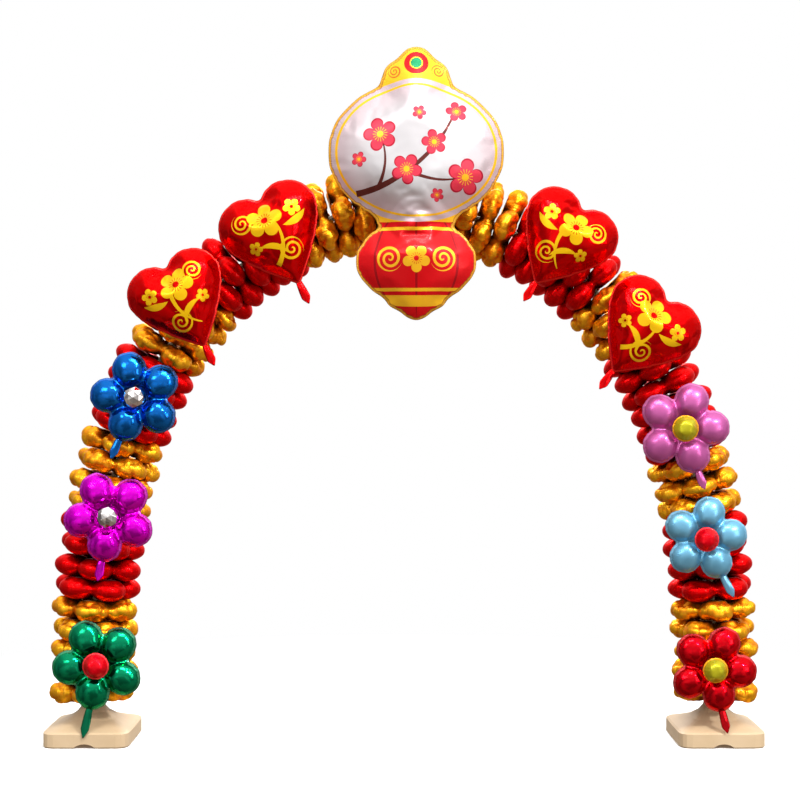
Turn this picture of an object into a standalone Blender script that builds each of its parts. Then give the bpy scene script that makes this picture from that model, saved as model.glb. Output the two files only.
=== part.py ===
"""Foil balloon arch on its pole stand.

Two plastic feet hold a bent pole. Sixty-three flat five-petal foil balloons are threaded on it, in bands of
gold and red, each turned half a petal from the last. Six flower balloons, four hearts and one tall medallion
balloon are tied to the front. +X is to the right, -Y to the front, +Z up, all in metres, floor at z = 0.
"""

from collections import namedtuple
from math import acos, atan2, cos, hypot, pi, radians, sin, sqrt

import bmesh
import bpy
import numpy as np
from mathutils import Matrix, Vector
from mathutils.bvhtree import BVHTree

# ---- driving dimensions ----
GAP = 0.0003  # between neighbouring pieces
POLE_Y = 0.0865  # the pole's plane behind the middle of the whole depth
HALF_ARCH = 2.52  # pole length from foot to top
BEND_POWER = 1.8  # how the bend gathers towards the top
FOOT_HEIGHT = 0.1445
LAYER_PITCH = 0.0785  # one threaded balloon to the next
LAYER_COUNT = 63
PETALS = 5

POLE_RADIUS = 0.0125
POLE_SIDES = 8
BORE_CLEARANCE = 0.0004
SOCKET_DEPTH = 0.080
POLE_JOINTS = (11, 22, 32, 42, 52)  # a section ends below each of these layers

PETAL_SPREAD = 0.103  # layer's middle to a petal's middle
PETAL_RADIUS = 0.065
LAYER_COLUMNS = 20
NIP_RADIUS = 0.124  # of the nip where two layers press together
NIP_COLUMNS = 10

FOOT_COLUMNS = 24
FOOT_RECESS_RADIUS = 0.064
FOOT_RECESS_HEIGHT = 0.017
SIDE_RECESS_HEIGHT = 0.009

FLOWER_SPREAD = 0.110
FLOWER_RADIUS = 0.0625
FLOWER_DEPTH = 0.040  # half a petal's thickness
FLOWER_COLUMNS = 30
HUB_RADIUS = 0.085
HUB_DEPTH = 0.018
BALL_RADIUS = 0.047
GEM_RADIUS = 0.041
TAIL_WIDTH = 0.026
TAIL_THICKNESS = 0.004
TAIL_ROOT = 0.030  # how far a tail's root lies inside its balloon
TAIL_LEAN = radians(13.0)  # forwards, clear of what the balloon lies on

HEART_WIDTH = 0.360
HEART_DROP = 0.318  # notch to tip
LOBE_RADIUS = 0.102
LOBE_RISE = 0.036  # lobe tops above the notch
HEART_DEPTH = 0.085
HEART_SIDE_BULGE = 0.012
HEART_TAIL = 0.078

SEAT_GAP = 0.0007  # a tied balloon from what it lies on
SEAT_STEP = 0.004  # spacing of the seat's feeler rays
FAR = 9.0  # where those rays start

# ---- tables ----
Band = namedtuple("Band", "foil layers")
BANDS = (
    Band("gold", 5),
    Band("red", 4),
    Band("gold", 4),
    Band("red", 4),
    Band("gold", 4),
    Band("red", 5),
    Band("gold", 11),
    Band("red", 5),
    Band("gold", 3),
    Band("red", 6),
    Band("gold", 3),
    Band("red", 4),
    Band("gold", 5),
)
LAYERS_PER_SOLID = 3

Section = namedtuple("Section", "height half_width half_depth squareness")
FOOT_SECTIONS = (
    Section(0.000, 0.158, 0.196, 8.0),
    Section(0.005, 0.162, 0.200, 8.0),
    Section(0.052, 0.162, 0.200, 8.0),
    Section(0.058, 0.155, 0.193, 7.0),
    Section(0.068, 0.130, 0.158, 5.0),
    Section(0.086, 0.090, 0.102, 3.5),
    Section(0.108, 0.060, 0.064, 2.6),
    Section(0.128, 0.044, 0.046, 2.2),
    Section(FOOT_HEIGHT, 0.038, 0.038, 2.0),
)

Flower = namedtuple("Flower", "foil x z first_petal size tail middle")
FLOWERS = (
    Flower("blue", -0.987, 1.295, 104.0, 1.0, 0.073, "gem"),
    Flower("magenta", -1.084, 0.857, 116.0, 1.0, 0.070, "gem"),
    Flower("green", -1.129, 0.311, 115.0, 1.0, 0.105, "red_ball"),
    Flower("pink", 1.028, 1.181, 73.0, 1.0, 0.066, "olive_ball"),
    Flower("sky", 1.109, 0.774, 80.0, 0.92, 0.082, "red_ball"),
    Flower("crimson", 1.139, 0.296, 66.0, 0.95, 0.080, "olive_ball"),
)
Rings = namedtuple("Rings", "front back")  # how far out each ring of an envelope lies
FLOWER_RINGS = Rings(front=(0.35, 0.65, 0.88), back=(0.65,))
HEART_RINGS = Rings(front=(0.40, 0.76), back=(0.40, 0.76))

Heart = namedtuple("Heart", "name x z lean")
HEARTS = (
    Heart("heart_left_low", -0.805, 1.634, 27.0),
    Heart("heart_left_high", -0.465, 1.880, 26.0),
    Heart("heart_right_high", 0.573, 1.856, -33.0),
    Heart("heart_right_low", 0.871, 1.529, -38.0),
)

Lobe = namedtuple("Lobe", "height half_width half_height half_depth")
CENTRE_X = 0.044
CENTRE_LOBES = (
    Lobe(2.452, 0.125, 0.124, 0.060),  # crest
    Lobe(2.190, 0.322, 0.262, 0.120),  # medallion
    Lobe(1.950, 0.140, 0.042, 0.070),  # lantern's cap
    Lobe(1.790, 0.215, 0.160, 0.105),  # lantern
    Lobe(1.636, 0.110, 0.030, 0.055),  # lantern's foot
    Lobe(1.612, 0.045, 0.036, 0.030),  # knob
)
CENTRE_ROWS = 26
CENTRE_COLUMNS = (-1.0, -0.86, -0.55, -0.2, 0.2, 0.55, 0.86)  # across half a row, seam first
LOBE_BLEND = 6.0  # higher keeps the lobes more apart

Finish = namedtuple("Finish", "colour roughness metallic")
FINISHES = {
    "gold": Finish((0.78, 0.42, 0.05), 0.22, 1.0),
    "red": Finish((0.62, 0.01, 0.01), 0.22, 0.6),
    "foot": Finish((0.72, 0.60, 0.42), 0.55, 0.0),
    "pole": Finish((0.70, 0.70, 0.70), 0.40, 0.0),
    "blue": Finish((0.0, 0.16, 0.50), 0.15, 1.0),
    "magenta": Finish((0.60, 0.0, 0.50), 0.15, 1.0),
    "green": Finish((0.0, 0.25, 0.12), 0.25, 1.0),
    "pink": Finish((0.60, 0.17, 0.40), 0.35, 0.5),
    "sky": Finish((0.18, 0.42, 0.60), 0.35, 0.5),
    "crimson": Finish((0.60, 0.0, 0.03), 0.18, 0.6),
    "heart": Finish((0.65, 0.0, 0.01), 0.20, 0.7),
    "gem": Finish((0.75, 0.72, 0.72), 0.08, 1.0),
    "red_ball": Finish((0.65, 0.01, 0.02), 0.30, 0.3),
    "olive_ball": Finish((0.50, 0.45, 0.04), 0.30, 0.3),
    "centre": Finish((0.80, 0.78, 0.78), 0.30, 0.2),
}

FRONT = Vector((0.0, -1.0, 0.0))
FIRST_SEAM = (2 * HALF_ARCH - LAYER_PITCH * (LAYER_COUNT - 1)) / 2  # along the pole to the first layer
POLE_START_Z = FOOT_HEIGHT + GAP - FIRST_SEAM + LAYER_PITCH / 2


# ---- shared helpers ----
def clear_scene():
    for obj in list(bpy.data.objects):
        bpy.data.objects.remove(obj, do_unlink=True)


def material(name):
    """The material of a finish, made once."""
    if name in bpy.data.materials:
        return bpy.data.materials[name]
    finish = FINISHES[name]
    made = bpy.data.materials.new(name)
    made.use_nodes = True
    shader = made.node_tree.nodes["Principled BSDF"]
    shader.inputs["Base Color"].default_value = (*finish.colour, 1.0)
    shader.inputs["Roughness"].default_value = finish.roughness
    shader.inputs["Metallic"].default_value = finish.metallic
    return made


def add_object(name, bm, finish, parent, sharp=40.0):
    """The bmesh becomes an object under parent, smooth except where its faces meet sharply."""
    bmesh.ops.recalc_face_normals(bm, faces=bm.faces)
    mesh = bpy.data.meshes.new(name)
    bm.to_mesh(mesh)
    bm.free()
    mesh.shade_smooth()
    mesh.set_sharp_from_angle(angle=radians(sharp))
    mesh.materials.append(material(finish))
    obj = bpy.data.objects.new(name, mesh)
    bpy.context.collection.objects.link(obj)
    obj.parent = parent
    return obj


def add_loop(bm, points):
    """A closed loop of edges through the points."""
    verts = [bm.verts.new(p) for p in points]
    return [bm.edges.new((a, b)) for a, b in zip(verts, verts[1:] + verts[:1])]


def skin(bm, loops):
    """Faces between each loop and the next."""
    for near, far in zip(loops, loops[1:]):
        bmesh.ops.bridge_loops(bm, edges=near + far)


def annulus(bm, outer, inner):
    """Flat faces between a loop and a smaller one inside it."""
    bmesh.ops.triangle_fill(bm, use_beauty=True, edges=outer + inner)


def cap(bm, loop, middle=None):
    """A face over a loop, raised to a middle point if one is given."""
    face = bmesh.ops.edgeloop_fill(bm, edges=loop)["faces"][0]
    if middle is not None:
        bmesh.ops.poke(bm, faces=[face])["verts"][0].co = middle


def petal_edge(turn, spread, radius):
    """Distance from the middle to the edge of five round petals, at an angle from one petal's axis."""
    off = (turn + pi / PETALS) % (2 * pi / PETALS) - pi / PETALS
    return spread * cos(off) + sqrt(max(radius**2 - (spread * sin(off)) ** 2, 0.0))


# ---- the arch's centre line ----
def lean(s):
    """The pole's angle from upright at arc distance s from the left foot."""
    if s > HALF_ARCH:
        return pi - lean(2 * HALF_ARCH - s)
    return pi / 2 * (max(s, 0.0) / HALF_ARCH) ** BEND_POWER


def centre_line(steps=4000):
    """Arc distances with the centre line's x and z, foot to foot."""
    step = 2 * HALF_ARCH / steps
    angles = np.array([lean(step * (i + 0.5)) for i in range(steps)])
    x = np.append(0.0, np.cumsum(np.sin(angles) * step))
    z = np.append(0.0, np.cumsum(np.cos(angles) * step))
    return np.linspace(0.0, 2 * HALF_ARCH, steps + 1), x - x[-1] / 2, z + POLE_START_Z


ARC, LINE_X, LINE_Z = centre_line()
LEG_X = LINE_X[-1]


def pole_ring(bm, s, radii, shift=0.0):
    """A loop square to the pole at arc distance s, a point for each radius, moved along it by shift."""
    angle = lean(s)
    along = Vector((sin(angle), 0.0, cos(angle)))
    outward = Vector((-cos(angle), 0.0, sin(angle)))
    middle = Vector((np.interp(s, ARC, LINE_X), 0.0, np.interp(s, ARC, LINE_Z))) + along * shift
    turns = [2 * pi * i / len(radii) for i in range(len(radii))]
    return add_loop(bm, [middle + (outward * cos(t) + FRONT * sin(t)) * r for t, r in zip(turns, radii)])


def nip(layer):
    """Arc distance of the nip below a layer."""
    return FIRST_SEAM + (layer - 0.5) * LAYER_PITCH


# ---- stand ----
def foot_loop(bm, section):
    power = 2.0 / section.squareness
    points = []
    for i in range(FOOT_COLUMNS):
        c, s = cos(2 * pi * i / FOOT_COLUMNS), sin(2 * pi * i / FOOT_COLUMNS)
        x = section.half_width * np.sign(c) * abs(c) ** power
        y = section.half_depth * np.sign(s) * abs(s) ** power
        points.append((x, y, section.height))
    return add_loop(bm, points)


def recess_cutter(name, foot, height, turn):
    """A lying cylinder that arches the foot's lower edge by a height."""
    bm = bmesh.new()
    lie = Matrix.Rotation(turn, 4, "Z") @ Matrix.Rotation(pi / 2, 4, "X")
    bmesh.ops.create_cone(
        bm, cap_ends=True, segments=32, radius1=FOOT_RECESS_RADIUS, radius2=FOOT_RECESS_RADIUS,
        depth=0.6, matrix=lie,
    )
    cutter = add_object(name, bm, "foot", foot)
    cutter.location.z = height - FOOT_RECESS_RADIUS
    cutter.hide_render = True
    cutter.display_type = "WIRE"
    cut = foot.modifiers.new(name, "BOOLEAN")
    cut.operation = "DIFFERENCE"
    cut.solver = "EXACT"
    cut.object = cutter


def make_foot(name, x, parent):
    """A blow-moulded foot: low skirt, hollowed slopes and a neck with the pole's socket."""
    bm = bmesh.new()
    outside = [foot_loop(bm, section) for section in FOOT_SECTIONS]
    radius = POLE_RADIUS + BORE_CLEARANCE
    turns = [2 * pi * i / POLE_SIDES for i in range(POLE_SIDES)]
    heights = (FOOT_HEIGHT, FOOT_HEIGHT - SOCKET_DEPTH)
    socket = [add_loop(bm, [(radius * cos(t), radius * sin(t), z) for t in turns]) for z in heights]
    skin(bm, outside)
    skin(bm, socket)
    annulus(bm, outside[-1], socket[0])
    cap(bm, outside[0])
    cap(bm, socket[1])
    foot = add_object(name, bm, "foot", parent, sharp=50.0)
    foot.location.x = x
    recess_cutter(name + "_front_recess", foot, FOOT_RECESS_HEIGHT, 0.0)
    recess_cutter(name + "_side_recess", foot, SIDE_RECESS_HEIGHT, pi / 2)


def make_pole(parent):
    """The pole in sections that meet inside the balloons; its ends stand in the feet."""
    ends = (0, *POLE_JOINTS, LAYER_COUNT)
    plunge = SOCKET_DEPTH - 2 * GAP
    for number, (first, last) in enumerate(zip(ends, ends[1:]), start=1):
        bm = bmesh.new()
        radii = [POLE_RADIUS] * POLE_SIDES
        stops = [(nip(k), 0.0) for k in range(first + 1, last)]
        start = (nip(first), -plunge if first == 0 else GAP / 2)
        finish = (nip(last), plunge if last == LAYER_COUNT else -GAP / 2)
        loops = [pole_ring(bm, s, radii, shift) for s, shift in (start, *stops, finish)]
        skin(bm, loops)
        cap(bm, loops[0])
        cap(bm, loops[-1])
        add_object(f"pole_{number}", bm, "pole", parent, sharp=60.0)


# ---- threaded layers ----
def layer_radii(layer):
    """A layer's seam, with one petal to the front on even layers and a dip there on odd ones."""
    first_petal = pi / 2 + (layer % 2) * pi / PETALS
    turns = [2 * pi * i / LAYER_COLUMNS for i in range(LAYER_COLUMNS)]
    return [petal_edge(t - first_petal, PETAL_SPREAD, PETAL_RADIUS) for t in turns]


def make_band_solid(name, foil, first, count, parent):
    """Neighbouring layers pressed into one solid, with the pole's bore through it."""
    bm = bmesh.new()
    nips = [(nip(k), 0.0) for k in range(first, first + count + 1)]
    nips[0] = (nips[0][0], GAP / 2)
    nips[-1] = (nips[-1][0], -GAP / 2)
    outside = [pole_ring(bm, nips[0][0], [NIP_RADIUS] * NIP_COLUMNS, nips[0][1])]
    for k in range(count):
        outside.append(pole_ring(bm, nip(first + k + 0.5), layer_radii(first + k)))
        outside.append(pole_ring(bm, nips[k + 1][0], [NIP_RADIUS] * NIP_COLUMNS, nips[k + 1][1]))
    bore = [POLE_RADIUS + BORE_CLEARANCE] * POLE_SIDES
    inside = [pole_ring(bm, s, bore, shift) for s, shift in nips]
    skin(bm, outside)
    skin(bm, inside)
    annulus(bm, outside[0], inside[0])
    annulus(bm, outside[-1], inside[-1])
    return add_object(name, bm, foil, parent, sharp=65.0)


def split(layers):
    """A band's layers shared out evenly, LAYERS_PER_SOLID at most in each solid."""
    solids = -(-layers // LAYERS_PER_SOLID)
    return [layers // solids + (i < layers % solids) for i in range(solids)]


def make_bands(parent):
    made = []
    layer = 0
    for band_number, band in enumerate(BANDS, start=1):
        for letter, count in zip("abcd", split(band.layers)):
            name = f"band_{band_number:02d}{letter}_{band.foil}"
            made.append(make_band_solid(name, band.foil, layer, count, parent))
            layer += count
    return made


# ---- balloons tied to the front ----
def seat(obj, carriers):
    """Move obj along +Y until the nearest carrier is SEAT_GAP behind it, felt along many rays."""
    points, faces = [], []
    for carrier in carriers:
        offset = len(points)
        points += [carrier.matrix_basis @ v.co for v in carrier.data.vertices]
        faces += [[offset + i for i in p.vertices] for p in carrier.data.polygons]
    behind = BVHTree.FromPolygons(points, faces)
    own_points = [obj.matrix_basis @ v.co for v in obj.data.vertices]
    own = BVHTree.FromPolygons(own_points, [list(p.vertices) for p in obj.data.polygons])
    low = np.min([p[:] for p in own_points], axis=0)
    high = np.max([p[:] for p in own_points], axis=0)
    across = np.arange(low[0], high[0], SEAT_STEP)
    upward = np.arange(low[2], high[2], SEAT_STEP)
    feelers = [(x, z) for x in across for z in upward]
    feelers += [(p.x, p.z) for p in own_points]
    feelers += [(p.x, p.z) for p in points if low[0] < p.x < high[0] and low[2] < p.z < high[2]]
    room = []
    for x, z in feelers:
        back = own.ray_cast(Vector((x, FAR, z)), FRONT)[0]
        front = behind.ray_cast(Vector((x, -FAR, z)), -FRONT)[0]
        if back and front:
            room.append(front.y - back.y)
    obj.location.y += min(room) - SEAT_GAP
    bpy.context.view_layer.update()


def close_envelope(bm, outline, rings, depth_at, middle):
    """A foil envelope from its seam outline in X and Z, its rings drawn in towards the middle."""
    def loop(fraction, side):
        points = []
        for x, z in outline:
            px = middle[0] + (x - middle[0]) * fraction
            pz = middle[1] + (z - middle[1]) * fraction
            points.append((px, side * depth_at(px, pz, fraction), pz))
        return add_loop(bm, points)

    front = [loop(f, -1.0) for f in rings.front]
    back = [loop(f, 1.0) for f in reversed(rings.back)]
    skin(bm, front + [loop(1.0, 0.0)] + back)
    peak = depth_at(middle[0], middle[1], 0.0)
    cap(bm, front[0], (middle[0], -peak, middle[1]))
    cap(bm, back[-1], (middle[0], peak, middle[1]))


def weld_tail(obj, root, direction, length, spread):
    """A flat filling tail joined to an envelope: root and direction in X and Z, spread widens its end."""
    bm = bmesh.new()
    bmesh.ops.create_cube(bm, size=1.0)
    for v in bm.verts:
        end = v.co.z < 0
        width = TAIL_WIDTH * (spread if end else 1.0)
        v.co = (v.co.x * width, v.co.y * TAIL_THICKNESS, -length if end else TAIL_ROOT)
    turn = atan2(direction[0], -direction[1])
    aim = Matrix.Rotation(-turn, 4, "Y") @ Matrix.Rotation(-TAIL_LEAN, 4, "X")
    place = Matrix.Translation((root[0], 0.0, root[1])) @ aim
    bmesh.ops.transform(bm, matrix=place, verts=bm.verts)
    tail = add_object(obj.name + "_tail", bm, "pole", obj.parent)
    join = obj.modifiers.new("tail", "BOOLEAN")
    join.operation = "UNION"
    join.solver = "EXACT"
    join.object = tail
    bpy.context.view_layer.update()
    joined = bpy.data.meshes.new_from_object(obj.evaluated_get(bpy.context.evaluated_depsgraph_get()))
    obj.modifiers.clear()
    obj.data = joined
    bpy.data.objects.remove(tail, do_unlink=True)


def flower_depth(x, z, fraction, size, first_petal):
    """Half the flower's thickness: five domed petals round a shallow hub."""
    hub = max(1.0 - (hypot(x, z) / (HUB_RADIUS * size)) ** 2, 0.0)
    depth = HUB_DEPTH * size * sqrt(hub)
    for k in range(PETALS):
        turn = first_petal + 2 * pi * k / PETALS
        px, pz = FLOWER_SPREAD * size * cos(turn), FLOWER_SPREAD * size * sin(turn)
        dome = 1.0 - (hypot(x - px, z - pz) / (FLOWER_RADIUS * size)) ** 2
        depth = max(depth, FLOWER_DEPTH * size * max(dome, 0.0) ** 0.6)
    return max(depth, 0.004 * (1.0 - fraction))


def make_flower(flower, carriers, parent):
    """A five-petal balloon with a ball or a cut gem at its middle and its tail under the lowest petal."""
    first = radians(flower.first_petal)
    turns = [first + 2 * pi * i / FLOWER_COLUMNS for i in range(FLOWER_COLUMNS)]
    reach = [petal_edge(t - first, FLOWER_SPREAD, FLOWER_RADIUS) * flower.size for t in turns]
    outline = [(r * cos(t), r * sin(t)) for r, t in zip(reach, turns)]
    bm = bmesh.new()
    close_envelope(
        bm, outline, FLOWER_RINGS, lambda x, z, f: flower_depth(x, z, f, flower.size, first), (0.0, 0.0)
    )
    obj = add_object("flower_" + flower.foil, bm, flower.foil, parent, sharp=70.0)
    lowest = min((first + 2 * pi * k / PETALS for k in range(PETALS)), key=sin)
    tip = (FLOWER_SPREAD + FLOWER_RADIUS) * flower.size
    weld_tail(obj, (tip * cos(lowest), tip * sin(lowest)), (cos(lowest), sin(lowest)), flower.tail, 0.6)
    obj.location = (flower.x, -1.0, flower.z)
    bpy.context.view_layer.update()
    seat(obj, carriers)
    middle = make_middle(flower, parent)
    seat(middle, [obj])


def make_middle(flower, parent):
    """The small balloon in a flower's middle, a round ball or a cut gem."""
    bm = bmesh.new()
    if flower.middle == "gem":
        bmesh.ops.create_icosphere(bm, subdivisions=2, radius=GEM_RADIUS * flower.size)
        sharp = 5.0
    else:
        bmesh.ops.create_uvsphere(bm, u_segments=12, v_segments=6, radius=BALL_RADIUS * flower.size)
        sharp = 90.0
    bmesh.ops.scale(bm, vec=(1.0, 0.7, 1.0), verts=bm.verts)
    obj = add_object("middle_" + flower.foil, bm, flower.middle, parent, sharp)
    obj.location = (flower.x, -2.0, flower.z)
    bpy.context.view_layer.update()
    return obj


def heart_outline():
    """The seam from the notch round the right lobe to the tip and back up the left, notch at (0, 0)."""
    lobe = Vector((HEART_WIDTH / 2 - LOBE_RADIUS, LOBE_RISE - LOBE_RADIUS))
    start = atan2(-lobe.y, -lobe.x)
    tip = Vector((0.0, -HEART_DROP))
    to_tip = tip - lobe
    touch = atan2(to_tip.y, to_tip.x) + acos(LOBE_RADIUS / to_tip.length)
    right = []
    for i in range(8):
        turn = start + (touch - start) * i / 7
        right.append(lobe + Vector((cos(turn), sin(turn))) * LOBE_RADIUS)
    side = right[-1]
    bulge = Vector((tip.y - side.y, side.x - tip.x)).normalized() * -HEART_SIDE_BULGE
    for share in (0.33, 0.67):
        right.append(side.lerp(tip, share) + bulge)
    left = [Vector((-p.x, p.y)) for p in reversed(right[1:])]
    return [p[:] for p in (*right, tip, *left)]


def heart_depth(x, z, fraction):
    return HEART_DEPTH * max(1.0 - fraction**2.4, 0.0) ** 0.6


def make_heart(heart, carriers, parent):
    """A plump heart balloon, leaning, its tail below the tip."""
    bm = bmesh.new()
    close_envelope(bm, heart_outline(), HEART_RINGS, heart_depth, (0.0, -HEART_DROP * 0.43))
    obj = add_object(heart.name, bm, "heart", parent, sharp=70.0)
    weld_tail(obj, (0.0, -HEART_DROP), (0.0, -1.0), HEART_TAIL, 1.1)
    centring = Matrix.Translation((0.0, 0.0, HEART_DROP * 0.45))
    obj.data.transform(centring)
    obj.rotation_euler.y = -radians(heart.lean)
    obj.location = (heart.x, -1.0, heart.z)
    bpy.context.view_layer.update()
    seat(obj, carriers)


def centre_row(z):
    """Half width and half depth of the medallion balloon at a height, its lobes blended."""
    width, depth = 0.0, 0.0
    for lobe in CENTRE_LOBES:
        rise = max(1.0 - ((z - lobe.height) / lobe.half_height) ** 2, 0.0) ** 0.5
        width += (lobe.half_width * rise) ** LOBE_BLEND
        depth += (lobe.half_depth * rise) ** LOBE_BLEND
    return width ** (1 / LOBE_BLEND), depth ** (1 / LOBE_BLEND)


def make_centre(carriers, parent):
    """The tall medallion balloon: crest, wide medallion, lantern and knob in one envelope."""
    low = CENTRE_LOBES[-1].height - CENTRE_LOBES[-1].half_height
    high = CENTRE_LOBES[0].height + CENTRE_LOBES[0].half_height
    bm = bmesh.new()
    loops = []
    for i in range(CENTRE_ROWS):
        z = (low + high) / 2 - (high - low) / 2 * cos(pi * (i + 0.5) / CENTRE_ROWS)
        z = (z + low + (high - low) * (i + 0.5) / CENTRE_ROWS) / 2
        width, depth = centre_row(z)
        front = [(u * width, -depth * (1 - abs(u) ** 2.4) ** 0.55, z) for u in CENTRE_COLUMNS]
        back = [(-x, -y, z) for x, y, z in front]
        loops.append(add_loop(bm, front + back))
    skin(bm, loops)
    cap(bm, loops[0], (0.0, 0.0, low))
    cap(bm, loops[-1], (0.0, 0.0, high))
    obj = add_object("centre_medallion", bm, "centre", parent, sharp=70.0)
    obj.location = (CENTRE_X, -1.0, 0.0)
    bpy.context.view_layer.update()
    seat(obj, carriers)


def main():
    clear_scene()
    plane = bpy.data.objects.new("pole_plane", None)
    plane.location.y = POLE_Y
    bpy.context.collection.objects.link(plane)
    make_foot("foot_left", -LEG_X, plane)
    make_foot("foot_right", LEG_X, plane)
    make_pole(plane)
    bands = make_bands(plane)
    bpy.context.view_layer.update()
    for flower in FLOWERS:
        make_flower(flower, bands, plane)
    for heart in HEARTS:
        make_heart(heart, bands, plane)
    make_centre(bands, plane)


main()
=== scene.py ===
"""Foil balloon arch with pole stand: threaded foil layers, flowers, hearts and a tall medallion balloon.

The frame holds the measured parts. Every balloon here is cut flat, welded at its rim and blown up by cloth
pressure, then set on the place that its measured part holds.
"""

from collections import namedtuple
from contextlib import contextmanager
from math import atan2, copysign, cos, exp, hypot, pi, radians, sin, sqrt, tau
from random import Random

import bmesh
import bpy
from mathutils import Matrix, Vector, noise
from mathutils.kdtree import KDTree


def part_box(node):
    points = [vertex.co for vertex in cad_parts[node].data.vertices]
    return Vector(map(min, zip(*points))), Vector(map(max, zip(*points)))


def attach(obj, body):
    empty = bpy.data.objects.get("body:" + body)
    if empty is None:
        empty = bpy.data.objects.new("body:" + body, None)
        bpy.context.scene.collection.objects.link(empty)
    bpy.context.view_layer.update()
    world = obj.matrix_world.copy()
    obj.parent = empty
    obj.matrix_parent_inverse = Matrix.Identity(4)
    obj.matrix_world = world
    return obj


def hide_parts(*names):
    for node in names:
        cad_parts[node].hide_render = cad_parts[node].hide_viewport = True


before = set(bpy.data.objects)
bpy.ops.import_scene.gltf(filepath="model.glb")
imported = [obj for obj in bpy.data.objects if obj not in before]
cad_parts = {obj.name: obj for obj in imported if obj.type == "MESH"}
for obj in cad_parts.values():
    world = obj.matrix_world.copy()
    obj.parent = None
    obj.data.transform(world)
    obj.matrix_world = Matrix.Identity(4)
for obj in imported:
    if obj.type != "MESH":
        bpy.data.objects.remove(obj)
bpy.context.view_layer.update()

bl_info = {
    "name": "Foil balloon arch",
    "version": (1, 0, 0),
    "blender": (4, 5, 0),
    "location": "3D View > Sidebar > Arch",
    "description": "Builds a foil balloon arch on its pole stand",
    "category": "Add Mesh",
}

# ---- the arch's route, as the measured parts have it ----
POLE_Y = 0.0865
HALF_ARCH = 2.52
BEND_POWER = 1.8
FOOT_HEIGHT = 0.1445
GAP = 0.0003
LAYER_PITCH = 0.0785
LAYER_COUNT = 63
LAYERS_IN_BANDS = (3, 2, 2, 2, 2, 2, 2, 2, 2, 2, 3, 2, 3, 3, 3, 2, 3, 2, 3, 3, 3, 3, 2, 2, 3, 2)
FIRST_SEAM = (2 * HALF_ARCH - LAYER_PITCH * (LAYER_COUNT - 1)) / 2
POLE_START_Z = FOOT_HEIGHT + GAP - FIRST_SEAM + LAYER_PITCH / 2
FRONT = Vector((0.0, -1.0, 0.0))
FACE_FRONT = Matrix.Rotation(radians(90.0), 4, "X")  # a flat cut's upper sheet turned to the front

# ---- layers ----
PETALS = 5
LAYER_REACH = 0.166  # pole's middle to a petal's tip
LAYER_DEPTH = 0.0475
PRESSED_RADIUS = 0.100  # neighbours press flat on each other inside this
PRESSED_DEPTH = 0.0388
LOOSE_DEPTH = 0.0100  # what a layer's tips may have beyond the pressed depth
CRUMPLES_ACROSS = 20.0  # creased facets in a metre of gold foil

# ---- flowers and their middles ----
FLOWER_REACH = 0.1725
FLOWER_DEPTH = 0.046
FLOWER_WELD = 0.004
BALL_CUT = 0.060
BALL_RADIUS = 0.047
GEM_RADIUS = 0.041

# ---- hearts ----
HEART_WIDTH = 0.360
HEART_DROP = 0.318
LOBE_RADIUS = 0.102
LOBE_RISE = 0.036
HEART_DEPTH = 0.085
HEART_TAIL = 0.078

# ---- tails ----
TAIL_LEAN = radians(13.0)
TAIL_TUCK = 0.012  # how far a tail starts inside its balloon's rim
TAIL_NECK = 0.78  # its width at the rim, as a share of its own
TAIL_THICKNESS = 0.0012

Flower = namedtuple("Flower", "foil x z first_petal size tail middle")
FLOWERS = (
    Flower("blue", -0.987, 1.295, 104.0, 1.0, 0.073, "gem"),
    Flower("magenta", -1.084, 0.857, 116.0, 1.0, 0.070, "gem"),
    Flower("green", -1.129, 0.311, 115.0, 1.0, 0.105, "red_ball"),
    Flower("pink", 1.028, 1.181, 73.0, 1.0, 0.066, "olive_ball"),
    Flower("sky", 1.109, 0.774, 80.0, 0.92, 0.082, "red_ball"),
    Flower("crimson", 1.139, 0.296, 66.0, 0.95, 0.080, "olive_ball"),
)
Heart = namedtuple("Heart", "name x z lean size")
HEARTS = (
    Heart("heart_left_low", -0.805, 1.634, 27.0, 1.0),
    Heart("heart_left_high", -0.465, 1.880, 26.0, 1.05),
    Heart("heart_right_high", 0.573, 1.856, -33.0, 1.0),
    Heart("heart_right_low", 0.871, 1.529, -38.0, 1.02),
)
Lobe = namedtuple("Lobe", "across height half_width half_height")
CENTRE_X = 0.044
CENTRE_Z = 2.08
CENTRE_LOBES = (
    Lobe(0.0, 2.470, 0.082, 0.106),
    Lobe(-0.068, 2.440, 0.060, 0.082),
    Lobe(0.068, 2.440, 0.060, 0.082),
    Lobe(0.0, 2.190, 0.322, 0.262),
    Lobe(0.0, 1.950, 0.150, 0.070),
    Lobe(0.0, 1.830, 0.200, 0.110),
    Lobe(0.0, 1.790, 0.222, 0.140),
    Lobe(0.0, 1.740, 0.190, 0.105),
    Lobe(0.0, 1.640, 0.105, 0.034),
    Lobe(0.0, 1.612, 0.050, 0.036),
)

# ---- finishes: line_at is the light edge line's distance from the rim, below 0 for none ----
Foil = namedtuple(
    "Foil",
    "shine metallic coat coat_roughness relief crumple hollow weld line_at",
    defaults=(0.0, 0.0, 0.0045, 0.0),
)
GOLD_FOIL = Foil(0.31, 0.86, 0.10, 0.12, 0.7, crumple=0.0016, hollow=0.6, weld=0.0, line_at=-1.0)
RED_FOIL = Foil(0.29, 0.86, 0.05, 0.07, 0.5, hollow=0.3, weld=0.0, line_at=-1.0)
PEARLY_FOIL = Foil(0.32, 0.62, 0.25, 0.08, 0.4, line_at=0.0008)
GLOSSY_FOIL = Foil(0.12, 0.96, 0.10, 0.04, 0.7, line_at=0.0008)
BALL_FOIL = Foil(0.32, 0.62, 0.15, 0.06, 0.4, weld=0.0050, line_at=0.0012)
HEART_FOIL = Foil(0.17, 0.96, 0.07, 0.05, 0.5)
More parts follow.
